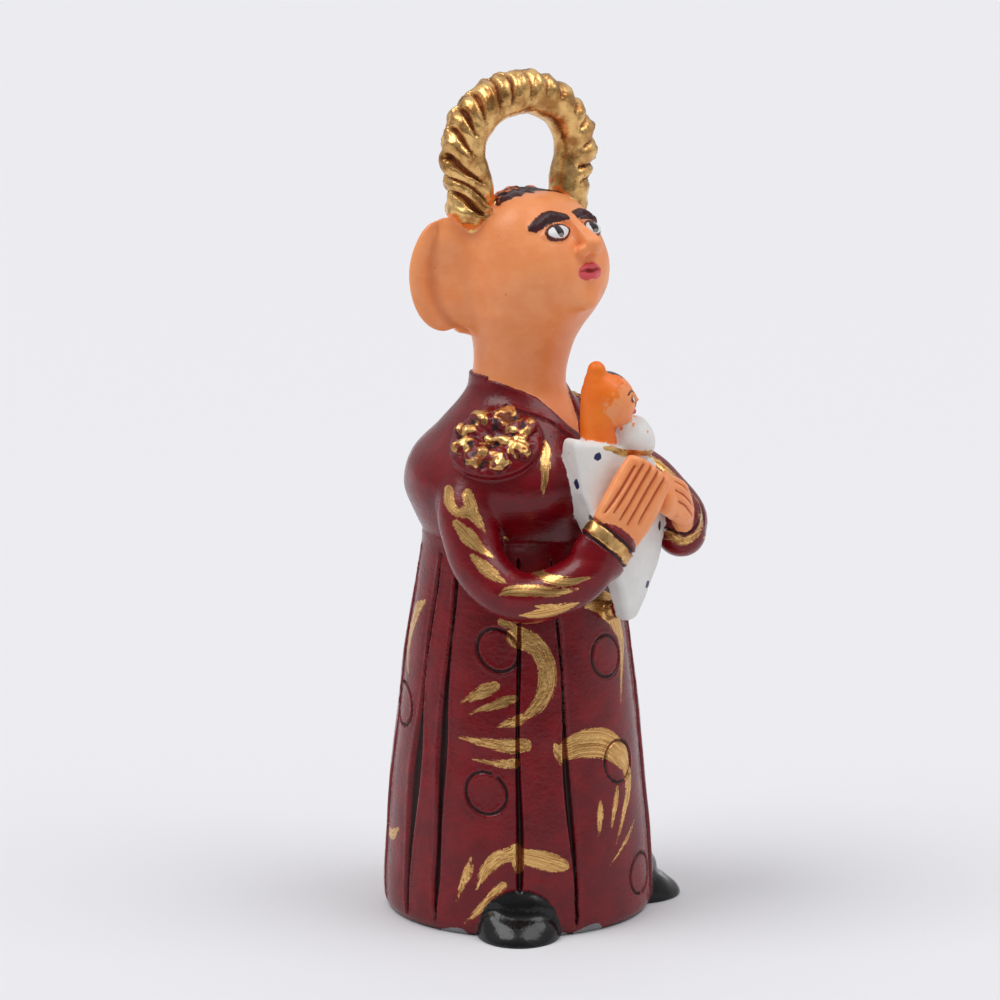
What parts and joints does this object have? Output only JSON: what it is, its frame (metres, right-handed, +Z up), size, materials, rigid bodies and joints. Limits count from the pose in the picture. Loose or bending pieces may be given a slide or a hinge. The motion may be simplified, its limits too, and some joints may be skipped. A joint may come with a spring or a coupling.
{
  "type": "ceramic saint statuette",
  "caption": "Small painted clay figure of a robed saint holding a swaddled child, with a rope-like halo; stands on a flat base as an ornament.",
  "frame": {"origin": "centre of the robe on the flat underside", "axes": "+Z up the figure; the figure faces -Y, and its right side is -X"},
  "size_m": [0.073, 0.0811, 0.2201],
  "materials": {
    "painted_clay": "fired clay painted by hand: satin burgundy robe, peach skin, gold halo and brush strokes, white cloth, gloss black shoes"
  },
  "bodies": {
    "root": {"saint_statuette": "painted_clay"}
  },
  "joints": []
}
